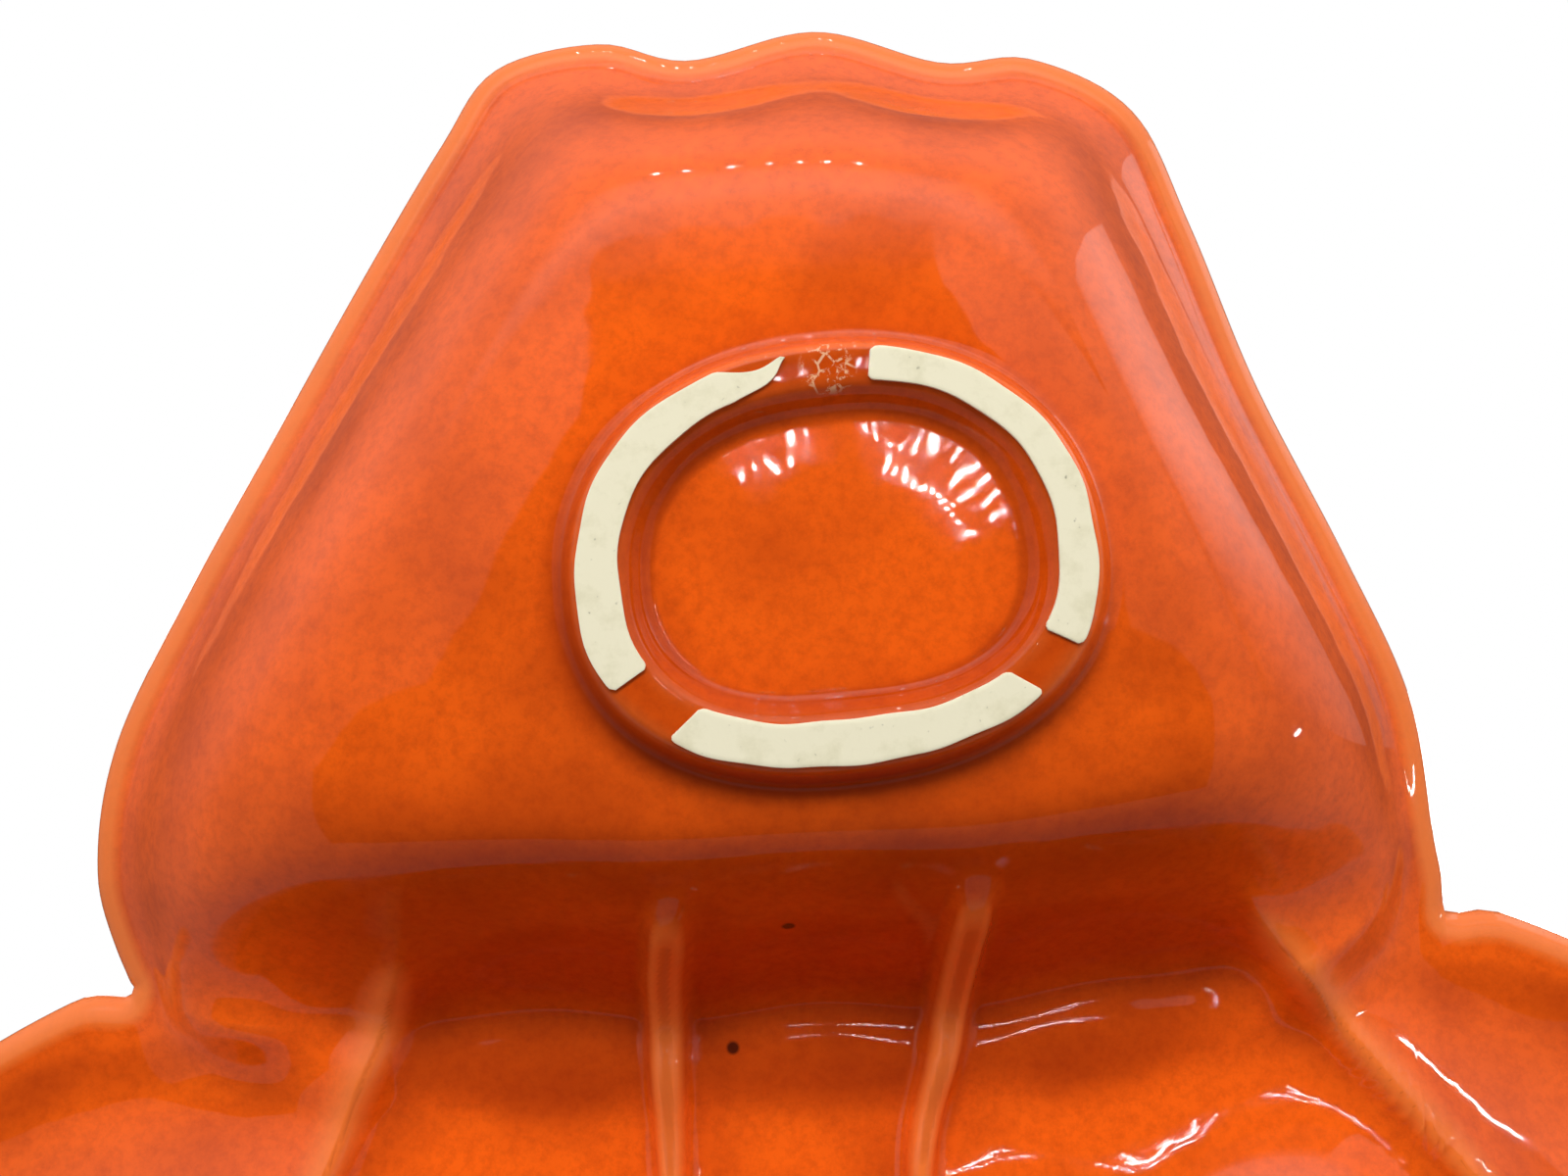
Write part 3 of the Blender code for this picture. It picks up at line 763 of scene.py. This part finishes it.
def foot_pad(name, ring, arc, tail, seed):
    """Bend a grid along a stretch of a foot ring and make a thin pad of it."""
    share = np.linspace(0, 1, PAD_COLUMNS + 1)
    angle = np.radians(arc[0] + (arc[1] - arc[0]) * share)
    outer = PAD_EDGE + PAD_WAVER * uneven(share, OUTER_WAVES, (seed, 2 * seed))
    inner = RING_WALL - np.column_stack([np.cos(angle), np.sin(angle)]) @ RING_SKEW - PAD_EDGE
    inner = inner + PAD_WAVER * uneven(share, INNER_WAVES, (3 * seed, seed))
    end = np.minimum(share, 1 - share) * math.radians(arc[1] - arc[0]) * ring["size"].mean() / 2
    rounding = PAD_CORNER * (1 - np.sqrt(1 - np.clip(1 - end / (2 * PAD_CORNER), 0, 1) ** 2))
    outer = outer + rounding
    inner = inner - rounding
    if tail:
        late = np.clip((share - TAIL_FROM) / (1 - TAIL_FROM), 0, 1)
        outer = outer + TAIL_BOW * np.sin(math.pi * late)
        narrow = inner - TAIL_NARROWING * late - TAIL_POINT * late**TAIL_SHARPNESS
        inner = np.maximum(narrow, outer + TAIL_LEAST)
    grid = []
    for across in np.linspace(0, 1, PAD_ROWS + 1):
        lean = PAD_END_LEAN * (across - 0.5) * np.cos(math.pi * share)
        plan = ring_point(ring, angle + lean, outer + (inner - outer) * across)
        grid.append(np.column_stack([plan, np.zeros(len(plan))]))
    grid = np.array(grid) + np.array([0, NOTCH_Y, 0])
    pad = wrapped_sheet(name, grid, {})
    if pad.data.polygons[0].normal.z > 0:
        pad.data.flip_normals()
    solid = pad.modifiers.new("thickness", "SOLIDIFY")
    solid.thickness = RING_TOP + PAD_SINK
    solid.offset = -1
    bevel = pad.modifiers.new("worn edge", "BEVEL")
    bevel.width = PAD_BEVEL
    bevel.segments = 2
    bevel.limit_method = "ANGLE"
    bevel.angle_limit = BEVEL_ANGLE
    for modifier in ("thickness", "worn edge"):
        bpy.ops.object.modifier_apply(modifier=modifier)
    bpy.ops.object.shade_smooth_by_angle(angle=SMOOTH_ANGLE)
    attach(pad, "root")
    return pad


pads = []
for kind, ring in (("dip", WELL_RING), ("tray", TRAY_RING)):
    for number, arc in enumerate(PAD_ARCS, 1):
        tail = kind == "dip" and number == 1
        pad = foot_pad(f"{kind}_bare_pad_{number}", ring, arc, tail, number + 4 * (kind == "tray"))
        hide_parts(f"{kind}_dry_pad_{number}")
        pads.append(pad)
print("pads:", [(pad.name, len(pad.data.polygons)) for pad in pads])

# %% [markdown]
# Glaze runs thin over a sharp edge and gathers in a corner while it melts, so it is pale on edges and
# deep in hollows. How sharply the skin bends is measured once at every point, from the slope of the
# edges that meet there, and kept as an attribute that the glaze reads.

# %% Bend of the skin
BEND_ROUNDS = 2
SHORTEST_EDGE = 0.05 * MM


def note_bend(piece):
    """Keep how far the skin bends at each point: above 0 on edges, below 0 in hollows."""
    mesh = piece.data
    place = np.empty(len(mesh.vertices) * 3)
    mesh.vertices.foreach_get("co", place)
    place = place.reshape(-1, 3)
    normal = np.empty(len(mesh.vertices) * 3)
    mesh.vertices.foreach_get("normal", normal)
    normal = normal.reshape(-1, 3)
    pairs = np.empty(len(mesh.edges) * 2, dtype=np.int64)
    mesh.edges.foreach_get("vertices", pairs)
    first, second = pairs.reshape(-1, 2).T
    step = place[second] - place[first]
    length = np.maximum(np.linalg.norm(step, axis=1), SHORTEST_EDGE)
    turn = ((normal[second] - normal[first]) * step).sum(axis=1) / length**2
    bend = np.zeros(len(place))
    weight = np.zeros(len(place))
    for end in (first, second):
        np.add.at(bend, end, turn * length)
        np.add.at(weight, end, length)
    bend /= weight
    for _ in range(BEND_ROUNDS):
        around = np.zeros(len(place))
        count = np.zeros(len(place))
        for here, there in ((first, second), (second, first)):
            np.add.at(around, here, bend[there])
            np.add.at(count, here, 1)
        bend = (bend + around) / (1 + count)
    note = mesh.attributes.new("bend", "FLOAT", "POINT")
    note.data.foreach_set("value", (bend * MM).astype(np.float32))
    return bend * MM


bend = note_bend(dish)
print("bend per mm:", np.round(np.percentile(bend, [0, 1, 5, 25, 50, 75, 95, 99, 100]), 3))

# %% [markdown]
# The glaze is a gloss ceramic glaze in orange: a clear smooth coat over a stained ground, so the eye
# gets sharp reflections over a colour that is mottled with red-brown, paler on edges and deeper in
# hollows. It is one Principled shader whose colour is built in layers: noise at the sizes seen on the
# dish, then the notes kept on the skin. Some layers also paint light: the pale rim and rib flanks are
# partly a painted sheen, and the deep colour in the valley, beside the notches and round the foot rings
# is partly painted shade and shadow. Two pits, and a patch between two pads where the glaze drew back
# in cracks, are placed by their distance from a point.

# %% Orange glaze
GLAZE = "#F15F0D"
GLAZE_THIN_AND_SHEEN = "#F0803A"
GLAZE_DEEP_AND_SHADE = "#8E2606"
GLAZE_SPECKLE = "#A83206"
SPECKLE_SIZE = 1.6 * MM
CLOUD_SIZE = 16 * MM
GLAZE_CRAWL = "#F2C79A"
CRAWL_SIZE = 1.5 * MM
CRAWL_REACH = 3.4 * MM
CRAWL_FULL = CRAWL_REACH * 0.7
CRAWL_INSET = 2.4 * MM
CRAWL_TURN = np.radians([94.0])
CRAWL_PLACE = (*(ring_point(WELL_RING, CRAWL_TURN, CRAWL_INSET)[0] + [0, NOTCH_Y]), RING_TOP)
PIT = "#3A0F04"
PIT_SIZE = 0.6 * MM
PIT_HALO = 1.0 * MM
PIT_PLACES = np.array([[-0.2, 3.8], [8.0, -13.3]]) * MM
PITS = [(x, y + NOTCH_Y, z) for (x, y), z in zip(PIT_PLACES, bowl_height(PIT_PLACES, True))]
RIPPLE_SIZE = 7 * MM
RIPPLE_HEIGHT = 0.05 * MM


def hex_colour(text):
    """Return a linear colour from an sRGB hex value."""
    parts = [int(text[i : i + 2], 16) / 255 for i in (1, 3, 5)]
    return tuple(v / 12.92 if v <= 0.04045 else ((v + 0.055) / 1.055) ** 2.4 for v in parts) + (1.0,)


def add_node(tree, kind, links=None, values=None, **settings):
    """Add a node to a tree with its settings, its socket values and the links into it."""
    node = tree.nodes.new(kind)
    for name, value in settings.items():
        setattr(node, name, value)
    for socket, value in (values or {}).items():
        node.inputs[socket].default_value = value
    for socket, source in (links or {}).items():
        tree.links.new(source, node.inputs[socket])
    return node


def new_material(name):
    """Return an empty node material and its tree."""
    material = bpy.data.materials.new(name)
    material.use_nodes = True
    material.node_tree.nodes.clear()
    return material, material.node_tree


def layered(tree, ground, layers):
    """Return a ground colour changed by layers, each led by a measured value."""
    colour = None
    for source, low, high, strength, brought in layers:
        values = {"From Min": low, "From Max": high, "To Max": strength}
        share = add_node(tree, "ShaderNodeMapRange", {"Value": source}, values).outputs["Result"]
        links = {"Factor": share}
        if colour is not None:
            links[6] = colour
        values = {6: hex_colour(ground), 7: hex_colour(brought)}
        colour = add_node(tree, "ShaderNodeMix", links, values, data_type="RGBA").outputs[2]
    return colour


def orange_glaze():
    """Return the gloss glaze with its mottle, thin edges and deep hollows, and its painted shade and
    sheen.
    """
    material, tree = new_material("orange_gloss_glaze")
    place = add_node(tree, "ShaderNodeTexCoord").outputs["Object"]
    at_place = {"Vector": place}
    names = ("bend", "pool_and_shade", "rib", "rim_distance")
    notes = [add_node(tree, "ShaderNodeAttribute", attribute_name=name).outputs["Fac"] for name in names]
    bend, pool_and_shade, rib, rim = notes
    noise, turn, maths = "ShaderNodeTexNoise", "ShaderNodeMapRange", "ShaderNodeMath"
    values = {"Scale": 1 / SPECKLE_SIZE, "Detail": 5.0, "Roughness": 0.75}
    fine = add_node(tree, noise, at_place, values).outputs["Fac"]
    cloud = add_node(tree, noise, at_place, {"Scale": 1 / CLOUD_SIZE, "Detail": 4.0}).outputs["Fac"]
    wave = add_node(tree, noise, at_place, {"Scale": 1 / RIPPLE_SIZE, "Detail": 1.0}).outputs["Fac"]
    gaps = []
    for point in (CRAWL_PLACE, *PITS):
        gap = add_node(tree, "ShaderNodeVectorMath", {0: place}, {1: point}, operation="DISTANCE")
        gaps.append(gap.outputs["Value"])
    values = {"From Min": CRAWL_REACH, "From Max": CRAWL_FULL}
    patch = add_node(tree, turn, {"Value": gaps[0]}, values).outputs["Result"]
    cells = {"Scale": 1 / CRAWL_SIZE}
    crack = add_node(tree, "ShaderNodeTexVoronoi", at_place, cells, feature="DISTANCE_TO_EDGE")
    values = {"From Min": 0.10, "From Max": 0.05}
    line = add_node(tree, turn, {"Value": crack.outputs["Distance"]}, values).outputs["Result"]
    values = {"From Min": 0.46, "From Max": 0.54}
    broken = add_node(tree, turn, {"Value": fine}, values).outputs["Result"]
    crawled = patch
    for part in (line, broken):
        crawled = add_node(tree, maths, {0: crawled, 1: part}, operation="MULTIPLY").outputs["Value"]
    layers = (  # what is measured, from, to, how strongly, and the colour it brings in
        (cloud, 0.42, 0.75, 0.40, GLAZE_DEEP_AND_SHADE),
        (fine, 0.42, 0.75, 0.45, GLAZE_SPECKLE),
        (bend, -0.05, -0.35, 0.45, GLAZE_DEEP_AND_SHADE),
        (bend, 0.06, 0.40, 0.45, GLAZE_THIN_AND_SHEEN),
        # pooled glaze, and painted shade in the valley, beside the notches, on the ring walls and in the
        # ring shadow
        (pool_and_shade, 0.15, 1.0, 0.75, GLAZE_DEEP_AND_SHADE),
        # paler glaze on the ribs' flanks where it runs thin, partly a painted highlight
        (rib, 0.45, 0.85, 0.55, GLAZE_THIN_AND_SHEEN),
        (rib, 0.97, 1.0, 0.30, GLAZE_DEEP_AND_SHADE),
        # paler glaze on the rim's bead where it runs thin, partly a painted sheen
        (rim, 4.2, 2.6, 0.70, GLAZE_THIN_AND_SHEEN),
        (crawled, 0.0, 1.0, 0.65, GLAZE_CRAWL),
        *((gap, PIT_HALO, PIT_SIZE, 0.9, PIT) for gap in gaps[1:]),
    )
    colour = layered(tree, GLAZE, layers)
    values = {"Strength": 1.0, "Distance": RIPPLE_HEIGHT}
    ripple = add_node(tree, "ShaderNodeBump", {"Height": wave}, values).outputs["Normal"]
    values = {"To Min": 0.5, "To Max": 0.2}
    shine = add_node(tree, turn, {"Value": pool_and_shade}, values).outputs["Result"]
    links = {"Base Color": colour, "Normal": ripple, "Specular IOR Level": shine}
    shader = add_node(tree, "ShaderNodeBsdfPrincipled", links, {"Roughness": 0.04, "IOR": 1.52})
    add_node(tree, "ShaderNodeOutputMaterial", {"Surface": shader.outputs["BSDF"]})
    return material


dish.data.materials.clear()
dish.data.materials.append(orange_glaze())
print("glaze nodes:", len(dish.active_material.node_tree.nodes))

# %% [markdown]
# Bare fired clay is bisque: matt, chalky and cream, with a fine tooth that holds dust. It has greyish
# smudges where the dish has stood and a few dark grains, so its colour mixes two noises of different
# size, and a fine bump takes off the smoothness.

# %% Bare clay
CLAY = "#EAE3C6"
CLAY_SMUDGE = "#C3BB92"
CLAY_GRAIN = "#77705A"
SMUDGE_SIZE = 4.0 * MM
GRAIN_SIZE = 1.0 * MM  # real grains are finer, but would not show in the picture
GRAIN_HEIGHT = 0.08 * MM


def bare_clay():
    """Return the matt bisque of the foot pads."""
    material, tree = new_material("cream_bisque_clay")
    at_place = {"Vector": add_node(tree, "ShaderNodeTexCoord").outputs["Object"]}
    noise = "ShaderNodeTexNoise"
    values = {"Scale": 1 / SMUDGE_SIZE, "Detail": 6.0, "Roughness": 0.65}
    smudge = add_node(tree, noise, at_place, values).outputs["Fac"]
    grain = add_node(tree, noise, at_place, {"Scale": 1 / GRAIN_SIZE, "Detail": 2.0}).outputs["Fac"]
    layers = ((smudge, 0.50, 0.75, 0.45, CLAY_SMUDGE), (grain, 0.70, 0.78, 0.60, CLAY_GRAIN))
    colour = layered(tree, CLAY, layers)
    values = {"Strength": 0.25, "Distance": GRAIN_HEIGHT}
    bump = add_node(tree, "ShaderNodeBump", {"Height": grain}, values).outputs["Normal"]
    links = {"Base Color": colour, "Normal": bump}
    shader = add_node(tree, "ShaderNodeBsdfPrincipled", links, {"Roughness": 0.85, "IOR": 1.45})
    add_node(tree, "ShaderNodeOutputMaterial", {"Surface": shader.outputs["BSDF"]})
    return material


clay = bare_clay()
for pad in pads:
    pad.data.materials.clear()
    pad.data.materials.append(clay)
print("clay on", len(pads), "pads")

# %% [markdown]
# Gloss shows the room as much as the object. The room here is a plain pale gradient that brightens
# beyond the stem's tip, so the glaze is veiled with white towards the tip and clear towards the tray.
# Three soft boxes light the underside, from the same end and from both sides, so that the bank under
# the divider falls into shade; they are left out of the reflections. Two more hang above, light the
# upper side and show in its glaze.

# %% Room and soft boxes
ROOM_GLEAM = 0.30
ROOM_GLOW = 0.08
ROOM_RISE = 8.0
ROOM_LIMIT = 0.45
ROOM_LEAST = 1.0
HIGH_GLEAM = ROOM_GLEAM / 5
GLEAM_FALL = (0.10, 0.65)  # upward part of a direction where the gleam starts to fall and has fallen
TOP_GLOW = 0.45
TOP_RISE = (-0.05, 0.10)  # and where the glow from above starts and is full
UNDER_AIM = (0, 40, 10)
UPPER_AIM = (0, -30, 20)
SOFT_BOXES = (  # name, place and aim in mm, size in mm, brightness, and whether it shows in the glaze
    ("key", (0, 560, -540), UNDER_AIM, (500, 300), 10.9, False),
    ("left_fill", (700, 150, -350), UNDER_AIM, (500, 300), 4.4, False),
    ("right_fill", (-700, 150, -350), UNDER_AIM, (500, 300), 4.6, False),
    ("top_key", (-350, -250, 1000), UPPER_AIM, (700, 700), 8.0, True),
    ("top_fill", (250, 200, 1000), UPPER_AIM, (500, 500), 3.0, True),
)


def soft_box(name, place, aim, size, strength, reflected):
    """Add a rectangular lamp at a place on the notch frame, facing a point, with an even brightness."""
    data = bpy.data.lights.new(name, "AREA")
    data.shape = "RECTANGLE"
    data.size, data.size_y = size[0] * MM, size[1] * MM
    data.energy = strength * math.pi * data.size * data.size_y
    lamp = bpy.data.objects.new(name, data)
    lamp.location = Vector(place) * MM + Vector((0, NOTCH_Y, 0))
    facing = (Vector(aim) - Vector(place)).normalized()
    lamp.rotation_euler = facing.to_track_quat("-Z", "Y").to_euler()
    lamp.visible_camera = False
    lamp.visible_glossy = reflected
    bpy.context.scene.collection.objects.link(lamp)


for settings in SOFT_BOXES:
    soft_box(*settings)
world = bpy.data.worlds.new("studio")
bpy.context.scene.world = world
world.use_nodes = True
tree = world.node_tree
tree.nodes.clear()
path = add_node(tree, "ShaderNodeLightPath").outputs
way = add_node(tree, "ShaderNodeTexCoord").outputs["Generated"]
parts = add_node(tree, "ShaderNodeSeparateXYZ", {"Vector": way}).outputs
maths = "ShaderNodeMath"
ahead = add_node(tree, maths, {0: parts["Y"]}, {1: ROOM_LIMIT}, operation="MINIMUM").outputs["Value"]
rise = add_node(tree, maths, {1: ahead}, {0: ROOM_RISE}, operation="POWER").outputs["Value"]
rise = add_node(tree, maths, {0: rise}, {1: ROOM_LEAST}, operation="MAXIMUM").outputs["Value"]
values = {"From Min": TOP_RISE[0], "From Max": TOP_RISE[1], "To Max": TOP_GLOW}
above = add_node(tree, "ShaderNodeMapRange", {"Value": parts["Z"]}, values).outputs["Result"]
links = {0: rise, 2: above}
glow = add_node(tree, maths, links, {1: ROOM_GLOW}, operation="MULTIPLY_ADD").outputs["Value"]
values = {"From Min": GLEAM_FALL[0], "From Max": GLEAM_FALL[1]}
values.update({"To Min": ROOM_GLEAM, "To Max": HIGH_GLEAM})
level = add_node(tree, "ShaderNodeMapRange", {"Value": parts["Z"]}, values).outputs["Result"]
gleam = add_node(tree, maths, {0: rise, 1: level}, operation="MULTIPLY").outputs["Value"]
links = {"Factor": path["Is Glossy Ray"], "A": glow, "B": gleam}
seen = add_node(tree, "ShaderNodeMix", links).outputs["Result"]
links = {"Factor": path["Is Camera Ray"], "A": seen}
strength = add_node(tree, "ShaderNodeMix", links, {"B": 1.0}).outputs["Result"]
sky = add_node(tree, "ShaderNodeBackground", {"Strength": strength}, {"Color": (1, 1, 1, 1)})
add_node(tree, "ShaderNodeOutputWorld", {"Surface": sky.outputs["Background"]})
bpy.context.scene.view_settings.view_transform = "Standard"

# %% [markdown]
# Whoever holds the camera stands dark against the pale room, and shows as the clear patch in the middle
# of the glaze. A card cut roughly to that shape gives the patch. Two soft-edged windows, one beyond the
# tip and one low on the right, lay the strongest veils, and runs of small bright lamps give the sharp
# glints. All of them are seen by reflected rays only.

# %% Windows, dark card and glint lamps
WINDOW_ROWS = (285, 330, 420, 700, 1000)  # places along the dish in mm
WINDOW_COLUMNS = (420, 160, -160, -420)
WINDOW_GLOW = (
    (0.7, 0.8, 0.7, 0.2),
    (0.8, 1.3, 1.2, 0.3),
    (0.8, 1.8, 1.8, 0.8),
    (0.8, 1.5, 1.5, 0.8),
    (0.8, 0.8, 0.8, 0.8),
)
WINDOW_HEIGHT = -302
SIDE_ROWS = (260, 120, 0, -60, -100)  # heights in mm
SIDE_COLUMNS = (20, 110, 200, 320)
SIDE_GLOW = (
    (0.2, 0.3, 0.6, 0.6),
    (0.3, 0.5, 1.5, 1.5),
    (0.3, 0.6, 2.0, 1.8),
    (0.3, 0.5, 1.5, 1.6),
    (0.2, 0.3, 0.5, 0.5),
)
SIDE_PLACE = -350
CARD_HEIGHT = -300
CARD_SHAPE = (  # place along the dish, left edge and right edge in mm, and brightness
    (305, 108, -90, 0.6), (268, 108, -92, 0.06), (180, 112, -110, 0.06), (100, 170, -150, 0.06),
    (30, 215, -175, 0.06), (-20, 340, -300, 0.06), (-420, 450, -450, 0.06)
)
GLINT_RUNS = (  # places along each run of lamps in mm, how many lamps, and their size in mm
    (((16, 120, -260), (-12, 129, -260)), 5, 1.2),
    (((-30, 131, -260), (-58, 122, -260)), 6, 1.2),
    (((-40, 122, -260), (-66, 104, -260)), 7, 1.2),
    (((-50, 118, -260), (-72, 98, -260)), 7, 1.2),
    (((-64, 122, -260), (-86, 90, -260)), 6, 1.2),
    (((-66, 100, -260), (-76, 82, -260)), 5, 1.2),
    (((-155, 9, -3), (-157, 14, 3)), 5, 0.8),
    (((110, 700, -180), (-110, 700, -180)), 7, 5.0),
)
GLINT_GLOW = 150.0


def reflected_only(piece, name, glow):
    """Make a stage piece shine, with a brightness for each point, for reflected rays alone."""
    amounts = np.broadcast_to(np.ravel(np.array(glow, dtype=np.float32)), len(piece.data.vertices))
    kept = piece.data.attributes.new("glow", "FLOAT", "POINT")
    kept.data.foreach_set("value", np.ascontiguousarray(amounts))
    material, tree = new_material(name)
    brightness = add_node(tree, "ShaderNodeAttribute", attribute_name="glow").outputs["Fac"]
    light = add_node(tree, "ShaderNodeEmission", {"Strength": brightness}).outputs["Emission"]
    add_node(tree, "ShaderNodeOutputMaterial", {"Surface": light})
    piece.data.materials.append(material)
    piece.visible_camera = False
    piece.visible_diffuse = False
    piece.visible_shadow = False


def stage_sheet(name, places):
    """Add a sheet through rows of places on the notch frame, in mm."""
    return wrapped_sheet(name, np.array(places) * MM + np.array([0, NOTCH_Y, 0]), {})


places = [[(x, y, WINDOW_HEIGHT) for x in WINDOW_COLUMNS] for y in WINDOW_ROWS]
reflected_only(stage_sheet("far_window", places), "window_light", WINDOW_GLOW)
places = [[(SIDE_PLACE, y, z) for y in SIDE_COLUMNS] for z in SIDE_ROWS]
reflected_only(stage_sheet("side_window", places), "side_light", SIDE_GLOW)
places = [[(x, row[0], CARD_HEIGHT) for x in row[1:3]] for row in CARD_SHAPE]
reflected_only(stage_sheet("dark_card", places), "black_card", [row[3:] * 2 for row in CARD_SHAPE])
bpy.ops.object.select_all(action="DESELECT")
glints = []
for places, count, size in GLINT_RUNS:
    steps = np.linspace(0, len(places) - 1, count)
    run = [np.interp(steps, np.arange(len(places)), axis) for axis in np.transpose(places)]
    for place in np.transpose(run) * MM + [0, NOTCH_Y, 0]:
        bpy.ops.mesh.primitive_cube_add(size=size * MM, location=place)
        glints.append(bpy.context.object)
for glint in glints:
    glint.select_set(True)
bpy.ops.object.join()
glint_row = bpy.context.object
glint_row.name = "glint_lamps"
bpy.ops.object.transform_apply(location=True)
reflected_only(glint_row, "lamp_glow", GLINT_GLOW)
print("two windows, a dark card and", len(glints), "glint lamps")

# %% [markdown]
# The floor is plain and pale, level with the foot pads. The camera looks up from under it, so its
# underside is made see-through, and it neither shades the dish nor shows in the glaze.

# %% Floor
FLOOR_PALE = "#EDEBE6"
FLOOR_SIZE = 4.0
FLOOR_DROP = 0.05 * MM
bpy.ops.object.select_all(action="DESELECT")
bpy.ops.mesh.primitive_plane_add(size=FLOOR_SIZE, location=(0, 0, -FLOOR_DROP))
floor = bpy.context.object
floor.name = "pale_floor"
bpy.ops.object.transform_apply(location=True)
material, tree = new_material("pale_matt_floor")
under = add_node(tree, "ShaderNodeNewGeometry").outputs["Backfacing"]
matt = add_node(tree, "ShaderNodeBsdfDiffuse", None, {"Color": hex_colour(FLOOR_PALE)}).outputs["BSDF"]
clear = add_node(tree, "ShaderNodeBsdfTransparent").outputs["BSDF"]
both = add_node(tree, "ShaderNodeMixShader", {"Fac": under, 1: matt, 2: clear}).outputs["Shader"]
add_node(tree, "ShaderNodeOutputMaterial", {"Surface": both})
floor.data.materials.append(material)
floor.visible_shadow = False
floor.visible_diffuse = False
floor.visible_glossy = False
floor.visible_transmission = False
print("floor:", floor.name)
